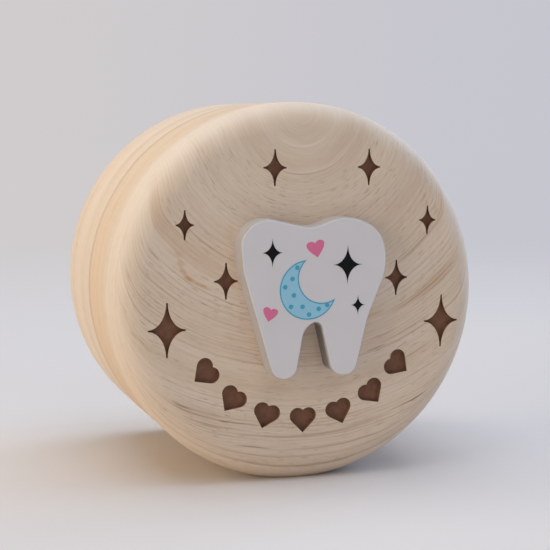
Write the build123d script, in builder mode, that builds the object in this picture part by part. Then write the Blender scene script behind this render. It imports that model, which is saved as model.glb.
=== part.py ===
from build123d import *
import os

# A round wooden box for baby teeth. It is turned in two halves, a cup behind and a lid in
# front, and it stands on a narrow flat on its rim with the lid's face to the viewer.
# Millimetres. +Z is up, +Y runs from the lid's face to the back of the cup, and the origin
# is at the middle of the flat that the box stands on. The lid pulls off forwards, along -Y.

# The turned body
box_diameter = 70.0
box_depth = 50.0  # from the lid's face to the back of the cup
lid_depth = 25.0  # from the lid's face to the seam
stand_cut = 0.5  # how deep the standing flat is cut into the rim
front_round = 5.0
back_round = 5.0
seam_chamfer = 0.2
lid_thickness = 7.0
floor_thickness = 7.0

# The spigot on the cup and the rebate in the lid that takes it. With the land outside it,
# the spigot's wall makes up the wall of the box.
land_width = 4.2
spigot_wall = 4.8
spigot_height = 4.0
spigot_clearance = 0.15  # all round
spigot_end_gap = 0.3  # the halves meet at the seam, not at the spigot's end
spigot_chamfer = 0.5

# The magnets that hold the lid and bring both standing flats in line
magnet_diameter = 3.0
magnet_thickness = 2.0
magnet_clearance = 0.05  # round the magnet and behind it
magnet_count = 2

# The felt discs
felt_thickness = 1.5
felt_clearance = 0.3

# The tooth on the lid
plaque_width = 27.6
plaque_thickness = 4.0
plaque_edge_round = 0.4
plaque_place = (0.6, -0.2)  # its middle, right and up from the middle of the face

# Its outline has straight runs between rounded corners, from the notch in the crown
# anticlockwise. Each corner's place and the radius of its round are shares of the width.
plaque_corner_shares = (
    ((-0.026, 0.462), 0.200),  # notch
    ((-0.401, 0.547), 0.190),  # left cusp
    ((-0.509, 0.391), 0.138),
    ((-0.488, 0.179), 0.285),
    ((-0.276, -0.529), 0.098),  # left root
    ((-0.124, -0.524), 0.087),
    ((-0.067, -0.195), 0.120),  # fork
    ((0.039, -0.136), 0.044),
    ((0.130, -0.513), 0.097),  # right root
    ((0.287, -0.522), 0.092),
    ((0.378, -0.132), 0.430),
    ((0.516, 0.207), 0.390),
    ((0.465, 0.445), 0.220),  # right cusp
    ((0.304, 0.519), 0.250),
    ((0.174, 0.535), 0.260),
)

# The ornaments burnt into the lid's face: four-pointed stars of three sizes
engraving_depth = 1.0
star_tip_width = 0.3
small_star = (3.3, 5.3)  # width and height
middle_star = (4.4, 6.6)
large_star = (6.9, 9.9)

# Each star's size, and its place right and up from the middle, as shares of the radius
star_place_shares = (
    (middle_star, (-0.167, 0.662)),
    (middle_star, (0.351, 0.665)),
    (small_star, (-0.643, 0.373)),
    (small_star, (0.691, 0.383)),
    (middle_star, (-0.425, 0.083)),
    (middle_star, (0.517, 0.079)),
    (large_star, (-0.734, -0.160)),
    (large_star, (0.783, -0.162)),
)

# A row of hearts, bent round under the tooth
heart_side = 3.0  # of the square that the heart is built on
heart_count = 7
row_radius_share = 0.669  # of the box's radius
row_angle = 108.0  # from the first heart to the last

# Places worked out from the sizes above
box_radius = box_diameter / 2
spigot_radius = box_radius - land_width
cavity_radius = spigot_radius - spigot_wall
rebate_radius = spigot_radius + spigot_clearance
rebate_depth = spigot_height + spigot_end_gap
magnet_ring_radius = spigot_radius - spigot_wall / 2
magnet_hole_radius = magnet_diameter / 2 + magnet_clearance
magnet_hole_depth = magnet_thickness + magnet_clearance
felt_radius = cavity_radius - felt_clearance
axis_height = box_radius - stand_cut
face_y = plaque_thickness - (box_depth + plaque_thickness) / 2
row_radius = row_radius_share * box_radius
heart_pitch = row_angle / (heart_count - 1)
row_start = -90 - row_angle / 2
sin_45 = 0.5**0.5

drum_axis = Axis((0, face_y, axis_height), (0, 1, 0))
# Half profiles are drawn with X as the depth behind the lid's face and Y as the radius
turning_plane = Plane(origin=(0, face_y, axis_height), x_dir=(0, 1, 0), z_dir=(1, 0, 0))


def facing_front(depth):
    """A plane across the drum that looks to the front, at a depth behind the lid's face."""
    return Plane(origin=(0, face_y + depth, axis_height), x_dir=(1, 0, 0), z_dir=(0, -1, 0))


def facing_back(depth):
    """A plane across the drum that looks to the back, at a depth behind the lid's face."""
    return Plane(origin=(0, face_y + depth, axis_height), x_dir=(1, 0, 0), z_dir=(0, 1, 0))


def corner_at(profile, place):
    """The corner of a profile that lies nearest to a place, looked up afresh after each change."""
    return profile.vertices().sort_by_distance(place)[0]


def four_pointed_star(width, height):
    """What four quarter ellipses leave of a rectangle, with blunt tips as a cutter leaves them."""
    with BuildSketch() as star:
        Rectangle(width, height)
        with GridLocations(width, height, 2, 2):
            Ellipse(
                (width - star_tip_width) / 2,
                (height - star_tip_width) / 2,
                mode=Mode.SUBTRACT,
            )
    return star.sketch


def heart(side):
    """A square on its corner with a half circle on two sides, its tip along +X."""
    lobe = side / 2 * sin_45
    with BuildSketch() as shape:
        Rectangle(side, side, rotation=45)
        with Locations((-lobe, lobe), (-lobe, -lobe)):
            Circle(side / 2)
    return shape.sketch


# The lid: its face, the rounded front edge, the hollow behind and the rebate for the spigot
with BuildPart() as lid:
    with BuildSketch(turning_plane) as lid_profile:
        with BuildLine():
            Polyline(
                (0, 0),
                (0, box_radius),
                (lid_depth, box_radius),
                (lid_depth, rebate_radius),
                (lid_depth - rebate_depth, rebate_radius),
                (lid_depth - rebate_depth, cavity_radius),
                (lid_thickness, cavity_radius),
                (lid_thickness, 0),
                close=True,
            )
        make_face()
        fillet(corner_at(lid_profile, (0, box_radius)), front_round)
        chamfer(corner_at(lid_profile, (lid_depth, box_radius)), seam_chamfer)
    revolve(axis=drum_axis)
    split(bisect_by=Plane.XY, keep=Keep.TOP)
    with Locations(facing_back(lid_depth - rebate_depth)):
        with PolarLocations(magnet_ring_radius, magnet_count):
            Hole(magnet_hole_radius, magnet_hole_depth)
    with BuildSketch(facing_front(0)) as ornaments:
        for (star_width, star_height), (right, up) in star_place_shares:
            with Locations((right * box_radius, up * box_radius)):
                add(four_pointed_star(star_width, star_height))
        with PolarLocations(row_radius, heart_count, row_start, heart_pitch * heart_count):
            add(heart(heart_side))
    extrude(amount=-engraving_depth, mode=Mode.SUBTRACT)

# The cup: its back, the rounded back edge, the hollow and the spigot round its mouth
with BuildPart() as base_cup:
    with BuildSketch(turning_plane) as cup_profile:
        with BuildLine():
            Polyline(
                (box_depth, 0),
                (box_depth, box_radius),
                (lid_depth, box_radius),
                (lid_depth, spigot_radius),
                (lid_depth - spigot_height, spigot_radius),
                (lid_depth - spigot_height, cavity_radius),
                (box_depth - floor_thickness, cavity_radius),
                (box_depth - floor_thickness, 0),
                close=True,
            )
        make_face()
        fillet(corner_at(cup_profile, (box_depth, box_radius)), back_round)
        chamfer(corner_at(cup_profile, (lid_depth, box_radius)), seam_chamfer)
        chamfer(
            corner_at(cup_profile, (lid_depth - spigot_height, spigot_radius)),
            spigot_chamfer,
        )
    revolve(axis=drum_axis)
    split(bisect_by=Plane.XY, keep=Keep.TOP)
    with Locations(facing_front(lid_depth - spigot_height)):
        with PolarLocations(magnet_ring_radius, magnet_count):
            Hole(magnet_hole_radius, magnet_hole_depth)

# The tooth: cut from sheet, its front edge rounded over, glued flat on the lid's face
with BuildPart() as tooth_plaque:
    with BuildSketch(facing_front(0)):
        with BuildLine():
            FilletPolyline(
                [
                    (
                        plaque_place[0] + across * plaque_width,
                        plaque_place[1] + up * plaque_width,
                    )
                    for (across, up), _ in plaque_corner_shares
                ],
                radius=[share * plaque_width for _, share in plaque_corner_shares],
                close=True,
            )
        make_face()
    extrude(amount=plaque_thickness)
    fillet(tooth_plaque.faces().sort_by(Axis.Y)[0].edges(), plaque_edge_round)

# The magnets lie flush with the wood, and the two pairs face each other across the end gap
with BuildPart() as lid_magnets:
    with BuildSketch(facing_back(lid_depth - rebate_depth)):
        with PolarLocations(magnet_ring_radius, magnet_count):
            Circle(magnet_diameter / 2)
    extrude(amount=-magnet_thickness)

with BuildPart() as base_magnets:
    with BuildSketch(facing_front(lid_depth - spigot_height)):
        with PolarLocations(magnet_ring_radius, magnet_count):
            Circle(magnet_diameter / 2)
    extrude(amount=-magnet_thickness)

# The felt discs are glued to the two flat floors of the hollow
with BuildPart() as lid_felt:
    with BuildSketch(facing_back(lid_thickness)):
        Circle(felt_radius)
    extrude(amount=felt_thickness)

with BuildPart() as base_felt:
    with BuildSketch(facing_front(box_depth - floor_thickness)):
        Circle(felt_radius)
    extrude(amount=felt_thickness)

lid.part.label = "lid"
base_cup.part.label = "base_cup"
tooth_plaque.part.label = "tooth_plaque"
lid_magnets.part.label = "lid_magnets"
base_magnets.part.label = "base_magnets"
lid_felt.part.label = "lid_felt"
base_felt.part.label = "base_felt"

os.makedirs("parts", exist_ok=True)
export_step(lid.part, "parts/lid.step")
export_step(base_cup.part, "parts/base_cup.step")
export_step(tooth_plaque.part, "parts/tooth_plaque.step")
export_step(lid_magnets.part, "parts/lid_magnets.step")
export_step(base_magnets.part, "parts/base_magnets.step")
export_step(lid_felt.part, "parts/lid_felt.step")
export_step(base_felt.part, "parts/base_felt.step")
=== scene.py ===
# %% [markdown]
# A turned wooden box for baby teeth stands on its rim with its lid to the viewer. The wood
# itself is already a solid in the frame: lid, cup, tooth and magnets keep their shapes, and
# this lesson gives them their finishes. New pieces are only what a maker adds last: the
# felt discs in the hollow and the ink printed on the tooth.

# %% Load the frame
import math

import bmesh
import bpy
from mathutils import Matrix, Vector, noise


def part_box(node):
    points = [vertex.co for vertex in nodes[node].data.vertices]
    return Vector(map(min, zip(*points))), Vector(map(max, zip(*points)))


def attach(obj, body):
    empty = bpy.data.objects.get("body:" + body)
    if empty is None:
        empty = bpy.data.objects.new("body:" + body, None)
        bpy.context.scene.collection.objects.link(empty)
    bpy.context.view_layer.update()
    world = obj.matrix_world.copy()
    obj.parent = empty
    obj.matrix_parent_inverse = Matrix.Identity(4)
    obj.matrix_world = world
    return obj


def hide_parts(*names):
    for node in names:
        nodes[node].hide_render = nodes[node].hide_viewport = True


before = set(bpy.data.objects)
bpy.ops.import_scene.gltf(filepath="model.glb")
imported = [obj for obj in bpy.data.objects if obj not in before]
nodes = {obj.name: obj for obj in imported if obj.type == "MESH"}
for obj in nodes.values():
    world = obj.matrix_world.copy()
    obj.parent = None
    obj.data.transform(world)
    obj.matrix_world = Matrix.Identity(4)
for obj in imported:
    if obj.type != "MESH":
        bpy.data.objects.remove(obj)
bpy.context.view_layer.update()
print("nodes:", ", ".join(sorted(nodes)))

# %% [markdown]
# Every place below is worked out from the boxes of the solids, so a change of size in the
# frame carries through. The drum's axis runs from front to back through the lid's middle.
# The lid's box is cut flat underneath, so the radius comes from its width.

# %% The sizes that the finishes need
MM = 0.001
lid_low, lid_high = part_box("lid")
cup_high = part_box("base_cup")[1]
plaque_low, plaque_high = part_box("tooth_plaque")
box_radius = (lid_high.x - lid_low.x) / 2
face_y = lid_low.y
lid_depth = lid_high.y - lid_low.y
box_depth = cup_high.y - lid_low.y
axis_z = lid_high.z - box_radius
plaque_middle = (plaque_low + plaque_high) / 2
edge_round = 5 * MM
print(f"radius {box_radius / MM:.1f} mm, axis {axis_z / MM:.1f} mm above the table")

# %% [markdown]
# A wood pattern is a sum: how far a point is from the heart of the tree, bent a little,
# turned into rings, with fibres and flecks laid over them. Nodes can say that, but a page
# of Math nodes is hard to read, so a small class lets Python's own signs add them. A Wire
# is one output socket. Adding or multiplying wires makes Math nodes behind the scenes.


# %% A wire that does sums
class Wire:
    """One output socket that can be added, subtracted, multiplied and divided."""

    def __init__(self, socket):
        self.socket = socket

    def sum(self, operation, first, second=0.0):
        node = self.socket.id_data.nodes.new("ShaderNodeMath")
        node.operation = operation
        for slot, value in zip(node.inputs, (first, second)):
            if isinstance(value, Wire):
                node.id_data.links.new(value.socket, slot)
            else:
                slot.default_value = value
        return Wire(node.outputs[0])

    def __add__(self, other):
        return self.sum("ADD", self, other)

    def __radd__(self, other):
        return self.sum("ADD", other, self)

    def __sub__(self, other):
        return self.sum("SUBTRACT", self, other)

    def __rsub__(self, other):
        return self.sum("SUBTRACT", other, self)

    def __mul__(self, other):
        return self.sum("MULTIPLY", self, other)

    def __rmul__(self, other):
        return self.sum("MULTIPLY", other, self)

    def __truediv__(self, other):
        return self.sum("DIVIDE", self, other)

    def at_least(self, other):
        return self.sum("MAXIMUM", self, other)

    def at_most(self, other):
        return self.sum("MINIMUM", self, other)

    def root(self):
        return self.sum("SQRT", self)

    def size(self):
        return self.sum("ABSOLUTE", self)

    def part_after_point(self):
        return self.sum("FRACT", self)


# %% [markdown]
# A Board is one node tree. Its add method puts any node on it: the node's own settings
# first, then the values or wires of its sockets. step, blend and stack are the three that a
# wood finish uses all the time: a soft edge between two values, two colours mixed by a
# mask, and three numbers made a vector.

# %% A node board
ray_kinds = ("Camera", "Glossy", "Transmission")  # the rays that look at a thing


class Board:
    """A node tree, and short ways to add nodes to it."""

    def __init__(self, tree):
        self.tree = tree

    def connect(self, socket, value):
        if isinstance(value, Wire):
            self.tree.links.new(value.socket, socket)
        else:
            socket.default_value = value

    def add(self, kind, settings, sockets, output=0):
        node = self.tree.nodes.new(kind)
        for name, value in settings.items():
            setattr(node, name, value)
        for name, value in sockets.items():
            self.connect(node.inputs[name], value)
        return Wire(node.outputs[output])

    def place(self):
        """The point on the object, as three wires in metres."""
        here = self.add("ShaderNodeTexCoord", {}, {}, "Object")
        parts = self.add("ShaderNodeSeparateXYZ", {}, {"Vector": here})
        return [Wire(out) for out in parts.socket.node.outputs]

    def stack(self, x, y, z):
        return self.add("ShaderNodeCombineXYZ", {}, {"X": x, "Y": y, "Z": z})

    def angle(self, across, along):
        """The angle of a point round an axis, nought along the second direction."""
        return self.add("ShaderNodeMath", {"operation": "ARCTAN2"}, {0: across, 1: along})

    def noise(self, vector, scale, detail=2.0, roughness=0.5):
        sockets = {"Vector": vector, "Scale": scale, "Detail": detail, "Roughness": roughness}
        return self.add("ShaderNodeTexNoise", {}, sockets)

    def sway(self, vector, scale, reach):
        """A slow noise that wanders as far to one side of nought as to the other."""
        return (self.noise(vector, scale, 1.0) - 0.5) * reach

    def line_noise(self, value, scale, detail=0.0):
        """A noise that changes with one value only."""
        sockets = {"W": value, "Scale": scale, "Detail": detail}
        return self.add("ShaderNodeTexNoise", {"noise_dimensions": "1D"}, sockets)

    def step(self, value, low, high):
        """0 below low, 1 above high, and a soft slope between them."""
        sockets = {"Value": value, "From Min": low, "From Max": high}
        return self.add("ShaderNodeMapRange", {"interpolation_type": "SMOOTHSTEP"}, sockets)

    def blend(self, mask, below, above):
        """Two colours mixed by a mask. A Mix node has its colours at sockets 6 and 7."""
        sockets = {0: mask, 6: below, 7: above}
        return self.add("ShaderNodeMix", {"data_type": "RGBA"}, sockets, 2)

    def bump(self, height, strength, distance):
        sockets = {"Height": height, "Strength": strength, "Distance": distance}
        return self.add("ShaderNodeBump", {}, sockets)

    def seen_directly(self):
        """1 for the camera, a mirror or a glass, and 0 for the light that falls on things."""
        rays = [self.add("ShaderNodeLightPath", {}, {}, f"Is {kind} Ray") for kind in ray_kinds]
        return rays[0].at_least(rays[1]).at_least(rays[2])


# %% [markdown]
# A Finish is the board of one material, with the Principled shader that it feeds. What
# changes over the surface is a wire, and feed takes it to its socket. What is the same all
# over is a plain value, and fix sets it on the shader itself. done says how many nodes the
# finish took, and hands over the material.


# %% A finish
class Finish(Board):
    """The board of a new material, with its Principled shader."""

    def __init__(self, name):
        self.material = bpy.data.materials.new(name)
        self.material.use_nodes = True
        super().__init__(self.material.node_tree)
        self.shader = self.tree.nodes["Principled BSDF"]

    def feed(self, **wires):
        for name, wire in wires.items():
            self.connect(self.shader.inputs[name.replace("_", " ").title()], wire)

    def fix(self, name, value):
        self.shader.inputs[name].default_value = value

    def done(self):
        print(f"{self.material.name}: {len(self.tree.nodes)} shader nodes")
        return self.material


# %% [markdown]
# Colours are easiest to judge as a screen shows them, from 0 to 255. A shader counts light
# instead, so each share goes through the screen's own curve first.


# %% Colours
def srgb(red, green, blue):
    """The linear colour of a shader from a colour as a screen names it."""
    shares = [value / 255 for value in (red, green, blue)]
    linear = [((s + 0.055) / 1.055) ** 2.4 if s > 0.04045 else s / 12.92 for s in shares]
    return (*linear, 1.0)


# %% [markdown]
# The lid is cut across a branchy board: on its face the growth rings are wide arcs about a
# heart near the top of the face, and on the rounded edge they swing round to run along the
# rim. A cone does both. Each ring is drawn where the distance from the heart plus twice the
# depth behind the face reaches a fixed value, so the same rings climb over the edge. Level
# with the heart the branch ran straight back, so there depth counts for nothing, and above
# the heart the rings are straight lines that go over the edge and away. A slow noise bends
# the rings a little, and a fast one keeps them from looking ruled.

# %% Wood: where a point lies among the rings
ring_heart = (-0.7 * MM, 33.5 * MM)  # right and up from the middle of the lid's face
depth_share = 2.0
climb_starts = (4.0 * MM, 20.0 * MM)  # how far below the heart depth begins to count


def drum_place(finish):
    """Right and up from the drum's axis, and the depth behind the lid's face."""
    x, y, z = finish.place()
    return x, z - axis_z, y - face_y


def face_rings(finish, x, up, depth):
    """Distance from the tree's heart, the turn about it, and the way along the ring."""
    here = finish.stack(x, depth, up)
    waves = finish.sway(here, 34.0, 1.3 * MM)
    ripple = finish.sway(here, 150.0, 0.3 * MM)
    right = x - ring_heart[0]
    below = (ring_heart[1] - up).at_least(0.0)
    above = (up - ring_heart[1]).at_least(0.0)
    climb = depth * finish.step(below, *climb_starts) * depth_share
    ring = (right * right + below * below).root() + climb + waves + ripple
    turn = finish.angle(right, below)
    return ring, turn, turn * ring + above + depth


rim_slope = 0.03


def rim_rings(finish, x, up, depth, drift):
    """Rings that run round the rim, level with the seam but for a slow drift."""
    here = finish.stack(x, depth, up)
    waves = finish.sway(here, 22.0, drift)
    ripple = finish.sway(here, 150.0, 0.4 * MM)
    return depth + up * rim_slope + waves + ripple


# %% [markdown]
# Sanded softwood is quiet. Broad bands hardly change the tone. The years are a saw: the wood
# darkens little by little towards the late wood and then starts pale again at once. No two
# years are alike, so a noise that changes once a year makes some bold and most faint. Short
# dark dashes lie among them, where the cutter opened a pore: a noise drawn out a dozen times
# longer along the ring than across it, kept only where it is high. Near the heart the wood
# is almost plain, and the outer rings are the bolder ones, so the rim counts as far out.
# Here and there resin stains a streak ochre. The boldness says how much of all this a
# surface shows. A number added to the ring only takes a noise from another place, so that
# no two of them agree. Layers of noise are used and no picture of wood, because a picture
# has an edge and a grain of its own, and would smear over the rounded rim.

# %% Wood: tones, years and dashes
pale = srgb(235, 214, 191)
warm = srgb(228, 204, 178)
late_brown = srgb(162, 116, 78)
dash_brown = srgb(148, 102, 64)
ochre = srgb(205, 156, 108)
across_rings = 4800.0
along_rings = 400.0
face_years = 1050.0  # in a metre
rim_years = 520.0
back_years = 900.0
outer_years = 60.0 * MM  # how far out in the tree the rim's own lines start
late_wood = (0.45, 0.86)  # the share of a year in which it darkens
year_end = (0.86, 1.0)  # and the share in which it turns pale again
quiet_heart = (7.0 * MM, 15.0 * MM)  # no lines inside the first, all outside the second
bolder_rings = (16.0 * MM, 42.0 * MM)


def ringed_wood(finish, ring, along, boldness, years):
    """The colour of ringed wood, and how much of each point is line or dash."""
    bands = finish.step(finish.line_noise(ring, 150.0, 2.0), 0.3, 0.7)
    colour = finish.blend(bands * (0.3 + 0.7 * boldness), pale, warm)
    crowding = finish.line_noise(ring + 5.0, 120.0) * 6.0
    year = (ring * years + crowding).part_after_point()
    late = finish.step(year, *late_wood) * (1 - finish.step(year, *year_end))
    strong = finish.step(finish.line_noise(ring + 7.0, years * 0.8), 0.40, 0.70)
    away = finish.step(ring, *quiet_heart)
    outer = finish.step(ring, *bolder_rings) * 0.65 + 0.35
    drift = finish.noise(finish.stack(ring * 220.0, along * 45.0, 2.0), 1.0, 1.0)
    patches = finish.step(drift, 0.35, 0.68)
    lines = late * (strong * 0.75 + 0.25) * (patches * 0.30 + 0.18) * boldness * outer * away
    colour = finish.blend(lines, colour, late_brown)
    pores = finish.noise(finish.stack(ring * across_rings, along * along_rings, 0.0), 1.0)
    dashes = finish.step(pores, 0.57, 0.70) * (patches * 0.32 + 0.18) * boldness * away
    colour = finish.blend(dashes, colour, dash_brown)
    resin = finish.step(finish.line_noise(ring + 11.0, 230.0), 0.60, 0.72)
    spread = finish.noise(finish.stack(ring * 60.0, along * 20.0, 4.0), 1.0, 1.0)
    stain = resin * finish.step(spread, 0.48, 0.68) * (0.5 * boldness)
    return finish.blend(stain, colour, ochre), lines + dashes


# %% [markdown]
# Every board also has marks of its own. This one has thin brown streaks, most of them low on
# the face or out to the right and some with a darker heart, a few broad bands a shade
# darker, ochre streaks, two pale rings near the top and a small curl. Each follows its ring,
# so it is kept by its middle, its length and its width, in millimetres, and by how strong
# it is.

# %% Wood: this board's own streaks
streak_brown = srgb(152, 102, 68)
brown_streaks = (
    # right and up of the middle, length, width, strength
    (-0.5, 22.0, 24.0, 0.24, 0.30),
    (-18.3, 9.7, 13.0, 0.22, 0.42),
    (-28.0, 8.0, 4.0, 0.30, 0.40),
    (-23.1, -19.5, 5.0, 0.26, 0.65),
    (-22.0, -20.5, 13.0, 0.22, 0.30),
    (-17.6, -23.2, 16.0, 0.22, 0.45),
    (-17.6, -23.5, 6.0, 0.26, 0.45),
    (-20.0, -20.8, 13.0, 2.00, 0.14),
    (-13.3, -23.2, 9.0, 0.22, 0.45),
    (-15.2, -22.8, 2.0, 0.28, 0.45),
    (-9.6, -27.9, 8.0, 0.24, 0.65),
    (-10.0, -29.4, 16.0, 0.24, 0.25),
    (-4.3, -26.2, 18.0, 0.24, 0.40),
    (5.0, -25.8, 17.0, 0.32, 0.42),
    (12.0, -24.2, 12.0, 0.60, 0.30),
    (4.0, -21.5, 10.0, 0.22, 0.40),
    (7.6, -22.7, 13.0, 0.22, 0.35),
    (21.5, -20.8, 10.0, 0.24, 0.70),
    (23.0, -20.2, 4.0, 0.28, 0.35),
    (12.4, -27.1, 22.0, 0.22, 0.50),
    (1.2, -28.6, 18.0, 0.24, 0.30),
    (14.3, -10.4, 5.0, 0.26, 0.55),
    (15.5, -8.0, 6.0, 0.22, 0.35),
    (24.5, 0.7, 19.0, 0.28, 0.60),
    (27.0, 1.8, 13.0, 0.26, 0.45),
    (26.0, 3.0, 12.0, 0.24, 0.25),
    (22.5, 9.0, 15.0, 0.36, 0.45),
    (19.0, 18.5, 30.0, 7.00, 0.15),
    (9.5, 27.0, 22.0, 6.00, 0.11),
    (20.1, -7.2, 11.0, 0.24, 0.35),
    (22.2, -11.5, 9.0, 0.24, 0.35),
)
ochre_streaks = (
    (25.0, 1.0, 20.0, 1.20, 0.35),
    (27.5, 16.0, 6.0, 0.55, 0.35),
    (13.5, -4.0, 5.0, 0.80, 0.40),
    # a small curl where a twig once grew
    (-23.6, 8.0, 2.0, 0.90, 0.35),
    (-23.2, 6.4, 2.0, 0.90, 0.45),
    (-22.7, 5.0, 2.0, 0.80, 0.60),
    (-21.7, 3.7, 2.6, 0.70, 0.95),
    (-19.6, 2.4, 4.0, 0.50, 0.70),
)
pale_ring = srgb(250, 234, 216)
pale_streaks = (
    (-0.7, 27.0, 13.0, 0.40, 0.50),
    (4.5, 23.6, 26.0, 1.00, 0.30),
)
board_streaks = (
    (pale_streaks, pale_ring),
    (brown_streaks, streak_brown),
    (ochre_streaks, ochre),
)


def streak_mask(finish, ring, turn, streaks, grain):
    """How much of a point lies in one of the streaks, broken up a little by the fibres."""
    total = 0.0
    for right, up, length, width, strength in streaks:
        length = length * MM
        across = right * MM - ring_heart[0]
        down = ring_heart[1] - up * MM
        reach = math.hypot(across, down)
        off_ring = (ring - reach).size()
        off_middle = (turn - math.atan2(across, down)).size() * reach
        side = 1 - finish.step(off_ring, 0.0, width * MM)
        ends = 1 - finish.step(off_middle, length * 0.05, length * 0.6)
        total = side * ends * strength + total
    return total * (grain + 0.5).at_most(1.0)


# %% [markdown]
# Fibres are the hair-fine streaks that sanding leaves. They follow the rings too, and lighten
# and darken the colour a little. A Patch keeps one pattern of wood together, its colour, its
# lines and its fibres, so that two patterns can be blended where a rounded edge joins them.

# %% Wood: fibres, and a patch of wood
fibre_dark = srgb(150, 124, 104)
fibre_light = srgb(255, 244, 228)


def fibres(finish, ring, along):
    return finish.noise(finish.stack(ring * 3600.0, along * 170.0, 0.0), 1.0, 3.0, 0.6)


class Patch:
    """One pattern of wood: its colour, how far a point is line or dash, and its fibres."""

    def __init__(self, finish, ring, along, boldness, years):
        self.finish = finish
        self.grain = fibres(finish, ring, along)
        tone = finish.blend(finish.step(self.grain, 0.3, 0.7), fibre_dark, fibre_light)
        colour, self.lines = ringed_wood(finish, ring, along, boldness, years)
        self.colour = finish.blend(0.06 + 0.03 * boldness, colour, tone)

    def into(self, other, mask):
        """Turns this pattern into another one where the mask rises to 1."""
        self.colour = self.finish.blend(mask, self.colour, other.colour)
        self.lines = self.lines * (1 - mask) + other.lines * mask
        self.grain = self.grain * (1 - mask) + other.grain * mask

    def relief(self):
        """The dry, silky surface: fibres stand up a little and lines lie lower."""
        height = self.grain * 0.4 - self.lines * 0.35
        return self.finish.bump(height, strength=0.15, distance=0.03 * MM)


# %% [markdown]
# The ornaments are burnt in with a hot cutter, a millimetre deep. Their pockets are already
# cut into the frame's lid, so the finish only needs to know which points lie in one: those
# that are deeper than the lid's own skin. Over the flat face the skin is at depth nought,
# and over the rounded edge it drops away as a quarter circle does. Walls start to char just
# under the edge, and the char is uneven, darkest where the heat lingered.

# %% Wood: the burnt pockets
char_dark = srgb(112, 76, 58)
char_light = srgb(150, 110, 86)
char_starts = (0.03 * MM, 0.22 * MM)  # below the skin
pocket_ends = (1.2 * MM, 1.4 * MM)  # deeper than this is the inside of the lid
plain_margin = (2.4 * MM, 2.2 * MM)  # in from the rim, where no pocket reaches


def burnt(finish, x, up, depth):
    """How burnt a point is, from 0 on the skin to 1 in a pocket."""
    radius = (x * x + up * up).root()
    over = (radius - (box_radius - edge_round)).at_least(0.0).at_most(edge_round)
    skin = edge_round - (edge_round * edge_round - over * over).at_least(0.0).root()
    below = depth - skin
    off_margin = 1 - finish.step(radius, *(box_radius - margin for margin in plain_margin))
    not_inside = 1 - finish.step(below, *pocket_ends)
    return finish.step(below, *char_starts) * off_margin * not_inside


# %% [markdown]
# Round the rim the turner's tool met the board from the side, so the lines run level with
# the seam. The lid therefore has two patterns, one for the face and one for the rim, and the
# rounded edge blends them, later at the top, where the face's rings run on over the edge.
# Hands and sandpaper have rubbed that edge a little paler all round, and towards the top it is
# painted paler still, as a painted highlight where the light from above falls. Towards the
# seam the rim is a shade more yellow than the cup, which was turned from another board. Low
# down it is painted more yellow still and at the top less, for the warm light bounced up from
# below, and the last few millimetres before the seam have darkened a little.

# %% The lid's wood
wood_gloss = 0.3  # oiled wood is duller than the lacquer beside it
# Yellow of the second board's own tone, and painted warm bounce light low down.
board_and_bounce_yellow = srgb(222, 188, 146)
# Pale of real rubbing all round, and of a painted highlight towards the top.
pale_rub_and_highlight = srgb(238, 224, 209)
low_to_high = (-22.0 * MM, 22.0 * MM)  # up from the axis
yellow_starts = (9.5 * MM, 14.5 * MM)  # behind the face
seam_shade = (3.2 * MM, 0.2 * MM)  # before the seam
face_to_rim = (0.4 * MM, 4.8 * MM)  # the depths where the face's pattern turns into the rim's
top_of_face = (20.0 * MM, 30.0 * MM)  # up from the axis
rub_and_highlight_starts = (0.3 * MM, 2.5 * MM)
rub_and_highlight_ends = (6.0 * MM, 11.0 * MM)


def rim_wood(finish, x, up, depth, drift, boldness):
    """The ring that a point round the rim lies on, and the pattern drawn from it."""
    ring = rim_rings(finish, x, up, depth, drift)
    along = finish.angle(x, up) * box_radius
    return ring, Patch(finish, ring + outer_years, along, boldness, rim_years)


def make_lid_wood():
    finish = Finish("lid_wood")
    finish.fix("Specular IOR Level", wood_gloss)
    x, up, depth = drum_place(finish)
    ring, turn, along = face_rings(finish, x, up, depth)
    wood = Patch(finish, ring, along, 1.0, face_years)
    for streaks, tone in board_streaks:
        mask = streak_mask(finish, ring, turn, streaks, wood.grain)
        wood.colour = finish.blend(mask, wood.colour, tone)
    rim_ring, rim = rim_wood(finish, x, up, depth, 5.0 * MM, 0.85)
    high = finish.step(up, *low_to_high)
    # Painted warm bounce: more yellow low down and less at the top; the step towards the seam
    # is the board's own tone.
    yellow = finish.step(rim_ring, *yellow_starts) * (0.50 - high * 0.20) + (1 - high) * 0.18
    rim.colour = finish.blend(yellow, rim.colour, board_and_bounce_yellow)
    near_seam = finish.step(depth, *(lid_depth - before for before in seam_shade))
    rim.colour = finish.blend(near_seam * 0.26, rim.colour, late_brown)
    at_top = finish.step(up, *top_of_face) * edge_round
    wood.into(rim, finish.step(depth - at_top, *face_to_rim))
    # Painted highlight: the rounded edge is paler towards the top, where light from above
    # falls; the small even share all round is real rubbing.
    rub_and_highlight = finish.step(depth, *rub_and_highlight_starts) * (1 - finish.step(depth, *rub_and_highlight_ends))
    colour = finish.blend(rub_and_highlight * (high * 0.34 + 0.08), wood.colour, pale_rub_and_highlight)
    pocket = burnt(finish, x, up, depth)
    soot = finish.noise(finish.stack(x, up, depth), 900.0, 3.0)
    colour = finish.blend(pocket, colour, finish.blend(soot, char_dark, char_light))
    roughness = 0.54 + wood.grain * 0.14 + pocket * 0.2
    finish.feed(base_color=colour, roughness=roughness, normal=wood.relief())
    return finish.done()


# %% [markdown]
# The cup comes from plainer wood. Round its rim the lines run level with the seam and drift
# a little on the way round. Its back shows wide flat arcs, because the board's heart lay far
# below this box, and the rounded back edge blends the two as the lid's front edge does.

# %% The cup's wood
back_heart = (9.0 * MM, -64.0 * MM)  # right and up from the middle of the back
back_margin = (edge_round, 0.4 * MM)  # before the back, where the rim's pattern gives way


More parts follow.
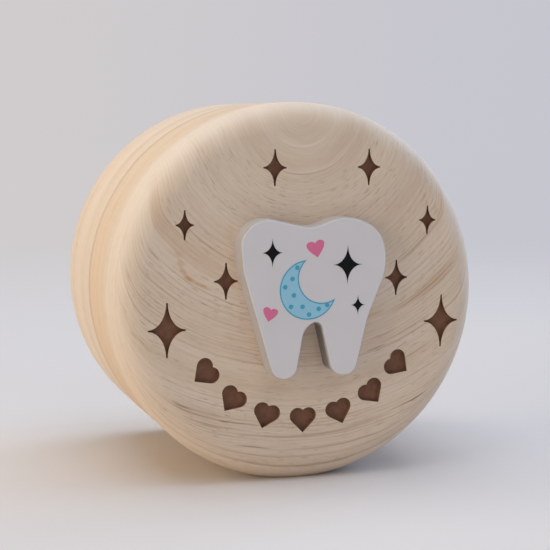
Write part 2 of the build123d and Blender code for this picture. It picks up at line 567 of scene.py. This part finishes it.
def make_cup_wood():
    finish = Finish("cup_wood")
    finish.fix("Specular IOR Level", wood_gloss)
    x, up, depth = drum_place(finish)
    wood = rim_wood(finish, x, up, depth, 7.0 * MM, 0.55)[1]
    across = x - back_heart[0]
    above = up - back_heart[1]
    waves = finish.sway(finish.stack(x, depth, up), 30.0, 3.0 * MM)
    reach = (across * across + above * above).root()
    back = Patch(finish, reach + waves, finish.angle(across, above) * reach, 0.6, back_years)
    wood.into(back, finish.step(depth, *(box_depth - before for before in back_margin)))
    roughness = 0.54 + wood.grain * 0.14
    finish.feed(base_color=wood.colour, roughness=roughness, normal=wood.relief())
    return finish.done()


# %% [markdown]
# A finish goes on a solid from the frame by taking the place of the plain material that the
# solid came with. Nothing else about the solid changes, so the frame still knows its name.


# %% Coat the two halves
def coat(node, material):
    """Puts one material on a CAD node in place of the one it came with."""
    for slot in nodes[node].material_slots:
        slot.material = material
    print(f"{node}: coated with {material.name}")


coat("lid", make_lid_wood())
coat("base_cup", make_cup_wood())

# %% [markdown]
# The tooth is lacquered wood: three coats of white, rubbed down between coats. It is not
# quite even. A very slow unevenness shows in its sheen, and the wood's pores tell through
# as faint pits. Just behind the front edge, over its rounding and down the side, the white
# is painted a greyer, warmer tone: painted shade with the wood's warm light in it, so the
# edge shows no highlight. Inside the fork, between the roots, the colour is painted darker
# still, as painted shade. One flat white would look like plastic. Masks by distance are
# enough here, because the side and the fork are plain to tell by their place.

# %% The tooth's lacquer
# Painted shade: the greyer, warmer tone of the tooth's side and rounded front edge.
shaded_side_colour = srgb(162, 150, 138)
# Painted shade: the darker tone for the fork between the roots.
fork_shade_colour = srgb(112, 104, 98)
fork_place = (-0.4 * MM, -4.0 * MM)  # its middle, and its top, from the middle of the tooth
fork_reach = 3.7 * MM
fork_edge = 0.6 * MM
side_shade_starts = (0.01 * MM, 0.16 * MM)  # behind the front, over the rounded edge
side_shade_eases = (0.3 * MM, 0.6 * MM)  # where the painted side shade eases a little
roots_rise = 1.5 * MM
fork_shade_reach = (0.3 * MM, 1.2 * MM)  # behind the front, in the fork


def make_lacquer():
    finish = Finish("white_lacquer")
    x, y, z = finish.place()
    here = finish.stack(x, y, z)
    cloud = finish.noise(here, 70.0, 2.0)
    pores = finish.noise(finish.stack(x * 2600.0, y * 2600.0, z * 500.0), 1.0, 2.0)
    colour = finish.blend(cloud, srgb(222, 217, 216), srgb(229, 224, 224))
    off_front = y - plaque_low.y
    # Painted shade: the rounded front edge and the side are darkened, so the edge shows no
    # highlight, and a little less further back.
    painted_edge_shade = finish.step(off_front, *side_shade_starts) * 0.70
    painted_side_shade = painted_edge_shade - finish.step(off_front, *side_shade_eases) * 0.16
    colour = finish.blend(painted_side_shade, colour, shaded_side_colour)
    # Painted shade: inside the fork between the roots the colour is darkened, where shade
    # falls.
    across = (x - plaque_middle.x - fork_place[0]).size()
    below = plaque_middle.z + fork_place[1] - z
    between_roots = 1 - finish.step(across, fork_reach, fork_reach + fork_edge)
    in_fork = between_roots * finish.step(below, 0.0, roots_rise)
    painted_fork_shade = in_fork * finish.step(off_front, *fork_shade_reach)
    colour = finish.blend(painted_fork_shade * 0.8, colour, fork_shade_colour)
    height = finish.noise(here, 420.0, 2.0) * 0.7 + pores * 0.3
    finish.feed(
        base_color=colour,
        roughness=0.36 + cloud * 0.12,
        normal=finish.bump(height, strength=0.12, distance=0.06 * MM),
    )
    return finish.done()


coat("tooth_plaque", make_lacquer())

# %% [markdown]
# The magnets are nickel-plated discs. Plating is bright, with fine scratches drawn out
# upwards. A plain metal would do while the box is shut, but with the lid off their ends
# show, and a noise in the roughness keeps the glint from looking printed.


# %% The magnets' nickel
def make_nickel():
    finish = Finish("nickel")
    finish.fix("Metallic", 1.0)
    x, y, z = finish.place()
    scratches = finish.noise(finish.stack(x * 9000.0, y * 9000.0, z * 1200.0), 1.0, 2.0)
    colour = finish.blend(scratches, srgb(196, 192, 186), srgb(222, 219, 212))
    finish.feed(
        base_color=colour,
        roughness=0.2 + scratches * 0.2,
        normal=finish.bump(scratches, strength=0.1, distance=0.01 * MM),
    )
    return finish.done()


nickel = make_nickel()
coat("lid_magnets", nickel)
coat("base_magnets", nickel)

# %% [markdown]
# Each hollow is lined with a disc of pressed wool felt. Felt has no weave, only a mottle of
# tufts and hairs, and it catches light at a slant as cloth does, which is what sheen is for.


# %% The felt's finish
def make_felt_material():
    finish = Finish("felt")
    finish.fix("Roughness", 0.95)
    finish.fix("Sheen Weight", 0.35)
    finish.fix("Sheen Roughness", 0.5)
    here = finish.stack(*finish.place())
    tufts = finish.noise(here, 900.0, 4.0, 0.65)
    hairs = finish.noise(here, 3600.0, 2.0, 0.6)
    mottle = finish.blend(tufts, srgb(196, 188, 172), srgb(226, 219, 204))
    colour = finish.blend(hairs * 0.3, mottle, srgb(240, 235, 224))
    finish.feed(
        base_color=colour,
        normal=finish.bump(tufts + hairs * 0.5, strength=0.6, distance=0.12 * MM),
    )
    return finish.done()


felt_material = make_felt_material()

# %% [markdown]
# A felt disc is cut clean but its edge turns soft, and its face is a little uneven. A plain
# cylinder has no points on its face to move, and a cloth simulation has nothing to drape,
# because the disc is glued flat. So a square grid is bent round, given its thickness and a
# rounded edge, and stood up, and a slow noise lowers the loose face here and there.

# %% The shape of a felt disc
felt_cells = 72  # across the disc
felt_edge = 0.5 * MM
felt_dip = 0.12 * MM
dips_in_metre = 160
loose_share = 0.3  # of the thickness, down to which the loose face gives


def disc_from_square(point, radius):
    """Bends a square grid into a round one, so that its cells stay nearly even."""
    x, y = point.x / radius, point.y / radius
    return Vector((x * math.sqrt(1 - y * y / 2), y * math.sqrt(1 - x * x / 2), 0)) * radius


def centre_z(shape):
    heights = [vert.co.z for vert in shape.verts]
    return (min(heights) + max(heights)) / 2


def is_rim(edge, radius):
    """True for the edges of the two outer circles."""
    ends_out = all(vert.co.xy.length > radius * 0.9999 for vert in edge.verts)
    level = abs(edge.verts[0].co.z - edge.verts[1].co.z) < 0.01 * MM
    return ends_out and level


def felt_shape(radius, thickness, middle, loose_face_y):
    """A standing disc with a rounded edge, its loose face slightly uneven."""
    disc = bmesh.new()
    bmesh.ops.create_grid(disc, x_segments=felt_cells, y_segments=felt_cells, size=radius)
    for vert in disc.verts:
        vert.co = disc_from_square(vert.co, radius)
    bmesh.ops.solidify(disc, geom=disc.faces[:], thickness=thickness)
    bmesh.ops.translate(disc, verts=disc.verts, vec=(0, 0, -centre_z(disc)))
    bmesh.ops.bevel(
        disc,
        geom=[edge for edge in disc.edges if is_rim(edge, radius)],
        offset=felt_edge,
        affect="EDGES",
        segments=3,
        profile=0.5,
        material=-1,
    )
    stand_up = Matrix.Rotation(math.pi / 2, 3, "X")
    bmesh.ops.rotate(disc, verts=disc.verts, cent=(0, 0, 0), matrix=stand_up)
    bmesh.ops.translate(disc, verts=disc.verts, vec=middle)
    inward = math.copysign(1, middle.y - loose_face_y)
    for vert in disc.verts:
        near = 1 - min(abs(vert.co.y - loose_face_y) / (loose_share * thickness), 1)
        uneven = 0.5 + 0.5 * noise.noise(vert.co * dips_in_metre)
        vert.co.y += inward * near * uneven * felt_dip
    bmesh.ops.recalc_face_normals(disc, faces=disc.faces)
    return disc


# %% [markdown]
# The frame already holds a plain disc for each lining. The new one takes its size and place
# from it, rides on the same body and stands in for it.


# %% The two felt linings
def line_with_felt(name, node, body, loose_face_y):
    """A felt disc in the space of its CAD node, glued to the carrier."""
    low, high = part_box(node)
    radius = (high.x - low.x) / 2
    thickness = high.y - low.y
    disc = felt_shape(radius, thickness, (low + high) / 2, loose_face_y)
    mesh = bpy.data.meshes.new(name)
    disc.to_mesh(mesh)
    disc.free()
    mesh.shade_smooth()
    mesh.materials.append(felt_material)
    felt = bpy.data.objects.new(name, mesh)
    bpy.context.scene.collection.objects.link(felt)
    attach(felt, body)
    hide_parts(node)
    print(f"{name}: {2 * radius / MM:.1f} mm across, {thickness / MM:.1f} mm thick")


line_with_felt("lid_lining", "lid_felt", "lid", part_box("lid_felt")[1].y)
line_with_felt("cup_lining", "base_felt", "cup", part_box("base_felt")[0].y)

# %% [markdown]
# A small print decorates the tooth: a spotted moon, two hearts and three dark stars. It
# could be a mask in the lacquer's shader, but a mask is only as sharp as its picture. So ink
# is a solid here, too thin to show a shadow, with a true edge in any view and in the mesh
# files. It is duller than the lacquer and faintly speckled.


# %% Ink colours
def make_ink(name, colour, shade):
    finish = Finish(name)
    finish.fix("Specular IOR Level", 0.15)
    speckle = finish.noise(finish.stack(*finish.place()), 2500.0, 2.0)
    finish.feed(
        base_color=finish.blend(speckle, shade, colour),
        roughness=0.42 + speckle * 0.1,
        normal=finish.bump(speckle, strength=0.05, distance=0.01 * MM),
    )
    return finish.done()


sky_ink = make_ink("sky_ink", srgb(166, 216, 236), srgb(152, 206, 230))
sea_ink = make_ink("sea_ink", srgb(86, 178, 204), srgb(76, 168, 196))
rose_ink = make_ink("rose_ink", srgb(236, 128, 164), srgb(226, 116, 154))
night_ink = make_ink("night_ink", srgb(12, 11, 12), srgb(6, 6, 7))

# %% [markdown]
# The shapes come from curves because a curve keeps its outline smooth at any size. A knot
# is a point with a handle on each side. A star has sharp knots and hollow sides, and a heart
# two sharp knots and two round ones. Arcs of knots make the rest: a spot is one arc all the
# way round, and a moon is the arc of one circle and, backwards, that of another.

# %% Knots for stars, hearts and moons
star_waist = 0.42  # how far out a handle lies, as a share of its tip
arc_knot_count = 6


def star_knots(width, height):
    """Four tips with hollow sides between them."""
    tips = ((0, height / 2), (-width / 2, 0), (0, -height / 2), (width / 2, 0))
    waists = [(x * star_waist, y * star_waist) for x, y in tips]
    return [(tip, waist, waist) for tip, waist in zip(tips, waists)]


def heart_knots(width):
    """A dip, a round lobe, the tip and the other lobe."""
    w = width / 2
    return [
        ((0, 0.55 * w), (0.18 * w, 0.95 * w), (-0.18 * w, 0.95 * w)),
        ((-w, 0.45 * w), (-w, 0.95 * w), (-w, -0.05 * w)),
        ((0, -0.95 * w), (-0.30 * w, -0.62 * w), (0.30 * w, -0.62 * w)),
        ((w, 0.45 * w), (w, -0.05 * w), (w, 0.95 * w)),
    ]


def along_way(degrees, far):
    """A point in a direction, counted from the right, and at a distance."""
    way = math.radians(degrees)
    return Vector((math.cos(way), math.sin(way))) * far


def arc_knots(centre, radius, start, end, count):
    """Knots along an arc, from one angle to another, with handles that make it round."""
    step = (end - start) / (count - 1)
    pull = radius * 4 / 3 * math.tan(math.radians(step) / 4)
    knots = []
    for index in range(count):
        angle = start + index * step
        out = centre + along_way(angle, radius)
        side = along_way(angle + 90, pull)
        knots.append((out, out - side, out + side))
    return knots


def spot_knots(centre, radius):
    """Four knots a quarter turn apart."""
    return arc_knots(centre, radius, 0, 270, 4)


def moon_knots(radius, bite, far, turn):
    """The outline of a circle with a smaller one bitten out of it, off to one side."""
    reach = (far**2 + radius**2 - bite**2) / (2 * far)
    half = math.degrees(math.acos(reach / radius))
    bite_half = math.degrees(math.acos((reach - far) / bite))
    outer = arc_knots(Vector((0, 0)), radius, turn + half, turn + 360 - half, arc_knot_count)
    inner = arc_knots(
        along_way(turn, far), bite, turn + 360 - bite_half, turn + bite_half, arc_knot_count
    )
    first_tip = (outer[0][0], inner[-1][1], outer[0][2])
    last_tip = (outer[-1][0], outer[-1][1], inner[0][2])
    return [first_tip, *outer[1:-1], last_tip, *inner[1:-1]]


# %% [markdown]
# Each shape is a flat filled curve with a little thickness. It is made a mesh first and then
# stood up on the tooth's face, so that the finished piece itself sits at the origin as every
# other piece does. A shape printed over another one lies a layer further out.

# %% Printing one shape
ink_thickness = 0.04 * MM


def flat_curve(name, outlines):
    """A flat filled curve from outlines of knots, each a point and its two handles."""
    curve = bpy.data.curves.new(name, "CURVE")
    curve.dimensions = "2D"
    curve.fill_mode = "BOTH"
    curve.resolution_u = 10
    curve.extrude = ink_thickness / 2
    for knots in outlines:
        spline = curve.splines.new("BEZIER")
        spline.bezier_points.add(len(knots) - 1)
        spline.use_cyclic_u = True
        for knot, (point, before, after) in zip(spline.bezier_points, knots):
            knot.co = (*point, 0)
            knot.handle_left = (*before, 0)
            knot.handle_right = (*after, 0)
    return curve


def print_on_tooth(name, outlines, ink, place, turn=0.0, layer=0):
    """Makes a shape of ink and sets it on the tooth's face, right and up from the middle."""
    shape = bpy.data.objects.new(name, flat_curve(name, outlines))
    bpy.context.scene.collection.objects.link(shape)
    bpy.context.view_layer.update()
    finished = shape.evaluated_get(bpy.context.evaluated_depsgraph_get())
    mesh = bpy.data.meshes.new_from_object(finished)
    bpy.data.objects.remove(shape)
    depth = plaque_low.y - ink_thickness * (0.5 + layer)
    stand = Matrix.Rotation(math.pi / 2, 4, "X") @ Matrix.Rotation(math.radians(turn), 4, "Z")
    spot = Vector((plaque_middle.x + place[0], depth, plaque_middle.z + place[1]))
    mesh.transform(Matrix.Translation(spot) @ stand)
    mesh.materials.clear()
    mesh.materials.append(ink)
    piece = bpy.data.objects.new(name, mesh)
    bpy.context.scene.collection.objects.link(piece)
    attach(piece, "lid")
    print(f"{name}: {len(mesh.polygons)} faces of ink")


# %% [markdown]
# The moon is printed in three layers, as a pad printer would: a darker moon, a lighter one
# set in from its edge so that an outline stays, and the spots. The rest is one layer each.

# %% Print the tooth
moon_radius = 5.4 * MM
bite_radius = 4.5 * MM
bite_centre = (3.4 * MM, 38.0)  # how far from the moon's middle, and which way in degrees
moon_place = (-1.2 * MM, 1.6 * MM)
outline_width = 0.22 * MM
spot_radius = 0.42 * MM
spot_places = (
    # the way from the moon's middle, in degrees, and how far, in millimetres
    (118, 4.6),
    (146, 3.7),
    (172, 4.45),
    (198, 2.9),
    (222, 4.4),
    (250, 3.2),
    (272, 4.45),
    (300, 4.0),
    (322, 4.6),
)
edge = moon_knots(moon_radius, bite_radius, *bite_centre)
inset = moon_knots(moon_radius - outline_width, bite_radius + outline_width, *bite_centre)
spots = [spot_knots(along_way(turn, far) * MM, spot_radius) for turn, far in spot_places]
print_on_tooth("moon_edge", [edge], sea_ink, moon_place)
print_on_tooth("moon", [inset], sky_ink, moon_place, layer=1)
print_on_tooth("moon_spots", spots, sea_ink, moon_place, layer=2)
small_prints = (
    # name, shape, ink, place and turn in degrees
    ("big_star", star_knots(5.6 * MM, 7.2 * MM), night_ink, (6.3 * MM, 6.0 * MM), 0),
    ("middle_star", star_knots(4.0 * MM, 5.2 * MM), night_ink, (-8.0 * MM, 8.4 * MM), 0),
    ("small_star", star_knots(2.8 * MM, 3.6 * MM), night_ink, (8.4 * MM, -1.4 * MM), 0),
    ("upper_heart", heart_knots(3.4 * MM), rose_ink, (0.2 * MM, 9.0 * MM), 12),
    ("lower_heart", heart_knots(2.8 * MM), rose_ink, (-8.4 * MM, -2.6 * MM), -14),
)
for name, shape, ink, place, turn in small_prints:
    print_on_tooth(name, [shape], ink, place, turn)

# %% [markdown]
# The stage is a pale round floor, large enough to fill any view. Near the box it is plain
# paper that takes the shadow. Further off it fades into the backdrop's own colour, so that
# no edge shows where they meet. The fade is only for what looks at the floor directly, so
# the light that the floor throws back on the box stays true.

# %% Floor and backdrop
floor_colour = srgb(224, 217, 212)
backdrop_left = srgb(208, 204, 205)
backdrop_right = srgb(198, 198, 207)
cooler_to_right = (0.1, 0.5)  # the share of a direction that points to the right
floor_radius = 3.0  # metres
floor_fades = (0.12, 0.55)  # metres from the box


def backdrop(board, across):
    """The backdrop's colour in a direction: a little cooler to the right, away from the key."""
    return board.blend(board.step(across, *cooler_to_right), backdrop_left, backdrop_right)


def make_stage():
    finish = Finish("stage_paper")
    finish.fix("Roughness", 0.9)
    finish.fix("Base Color", floor_colour)
    finish.fix("Specular IOR Level", 0.1)
    x, y, _ = finish.place()
    reach = (x * x + y * y).root()
    far = finish.step(reach, *floor_fades)
    seen = finish.seen_directly()
    wall = backdrop(finish, x / reach.at_least(0.1))
    glow = finish.add("ShaderNodeEmission", {}, {"Color": wall, "Strength": 1.0})
    paper = Wire(finish.shader.outputs[0])
    mixed = finish.add("ShaderNodeMixShader", {}, {0: far * seen, 1: paper, 2: glow})
    finish.connect(finish.tree.nodes["Material Output"].inputs["Surface"], mixed)
    sheet = bmesh.new()
    bmesh.ops.create_circle(sheet, cap_ends=True, segments=96, radius=floor_radius)
    mesh = bpy.data.meshes.new("stage_floor")
    sheet.to_mesh(mesh)
    sheet.free()
    mesh.materials.append(finish.done())
    floor = bpy.data.objects.new("stage_floor", mesh)
    bpy.context.scene.collection.objects.link(floor)
    print(f"{floor.name}: {2 * floor_radius:.0f} m across")


make_stage()

# %% [markdown]
# The box stands in soft light from the left, so the rim is bright and the face lies in a
# gentle shade. Five lamps share the work, all of them large, because a large lamp makes a
# soft edge between light and shade. A warm key stands behind on the left, a low lamp grazes
# the left edge, a broad sky hangs above, a cool lamp on the right tints the shadow there,
# and a weak one in front opens the face. Small hard lamps would draw the shadow sharper
# than it is, and show every bump of the fibres.

# %% Light
lamps = (
    # name, place, width and height, watts, colour
    ("key", (-1.45, 0.45, 0.68), (1.1, 1.0), 8.05, (1.0, 0.865, 0.63)),
    ("graze", (-1.2, -0.45, 0.3), (0.7, 0.7), 5.35, (1.0, 0.90, 0.75)),
    ("sky", (0.0, 0.1, 1.6), (1.8, 1.6), 18.7, (0.86, 0.91, 1.0)),
    ("cool_side", (1.4, 0.25, 0.6), (1.4, 1.1), 12.6, (0.46, 0.68, 1.0)),
    ("front", (0.2, -1.2, 1.3), (1.2, 1.0), 2.95, (1.0, 0.97, 0.98)),
)


def add_lamp(name, place, size, power, colour):
    """A rectangular lamp that shines on the middle of the drum."""
    lamp = bpy.data.lights.new(name, "AREA")
    lamp.shape = "RECTANGLE"
    lamp.size, lamp.size_y = size
    lamp.energy = power
    lamp.color = colour
    stand = bpy.data.objects.new(name, lamp)
    stand.location = place
    aim = Vector((0, 0, axis_z)) - Vector(place)
    stand.rotation_euler = aim.to_track_quat("-Z", "Y").to_euler()
    bpy.context.scene.collection.objects.link(stand)
    print(f"{name}: {power} W from {aim.length:.2f} m")


for lamp in lamps:
    add_lamp(*lamp)

# %% [markdown]
# The world gives the weak fill that reaches everything. What looks at it directly, the
# camera or a mirror, sees the backdrop in its place, so a pale backdrop costs no contrast.

# %% The world
fill_colour = srgb(210, 220, 238)
fill_strength = 0.2

world = bpy.data.worlds.new("studio")
bpy.context.scene.world = world
world.use_nodes = True
studio = Board(world.node_tree)
fill = studio.add("ShaderNodeBackground", {}, {"Color": fill_colour, "Strength": fill_strength})
direction = studio.add("ShaderNodeTexCoord", {}, {}, "Generated")
across = studio.add("ShaderNodeSeparateXYZ", {}, {"Vector": direction})
wall_colour = backdrop(studio, across)
wall = studio.add("ShaderNodeBackground", {}, {"Color": wall_colour, "Strength": 1.0})
choice = studio.add("ShaderNodeMixShader", {}, {0: studio.seen_directly(), 1: fill, 2: wall})
studio.connect(world.node_tree.nodes["World Output"].inputs["Surface"], choice)
print(f"{world.name}: fills the shade at a strength of {fill_strength}")

# %% [markdown]
# The camera stands a quarter of a metre in front, to the left and slightly above, as the
# picture was taken. It is placed from the middle of the lid's face: back along its own
# line of sight, then a little across and up in its own picture plane.

# %% Camera
camera_azimuth = math.radians(-18.286)
camera_elevation = math.radians(6.33)
camera_roll = math.radians(0.55)
camera_distance = 250.6 * MM
camera_right = -5.347 * MM
camera_up = 3.656 * MM
sensor_mm = 36.0
picture_pixels = 550
focal_pixels = 1374.3

back = Vector((
    math.sin(camera_azimuth) * math.cos(camera_elevation),
    -math.cos(camera_azimuth) * math.cos(camera_elevation),
    math.sin(camera_elevation),
))
level_right = Vector((math.cos(camera_azimuth), math.sin(camera_azimuth), 0))
level_up = back.cross(level_right)
right = level_right * math.cos(camera_roll) + level_up * math.sin(camera_roll)
up = back.cross(right)
face_middle = Vector((0, face_y, axis_z))
spot = face_middle + back * camera_distance + right * camera_right + up * camera_up

lens = bpy.data.cameras.new("camera")
lens.sensor_width = sensor_mm
lens.lens = focal_pixels / picture_pixels * sensor_mm
lens.clip_start = 0.01
camera = bpy.data.objects.new("camera", lens)
camera.matrix_world = Matrix.Translation(spot) @ Matrix((right, up, back)).transposed().to_4x4()
bpy.context.scene.collection.objects.link(camera)
bpy.context.scene.camera = camera
bpy.context.scene.view_settings.view_transform = "Standard"
print(f"camera: {lens.lens:.1f} mm lens, {camera_distance / MM:.0f} mm from the lid's face")
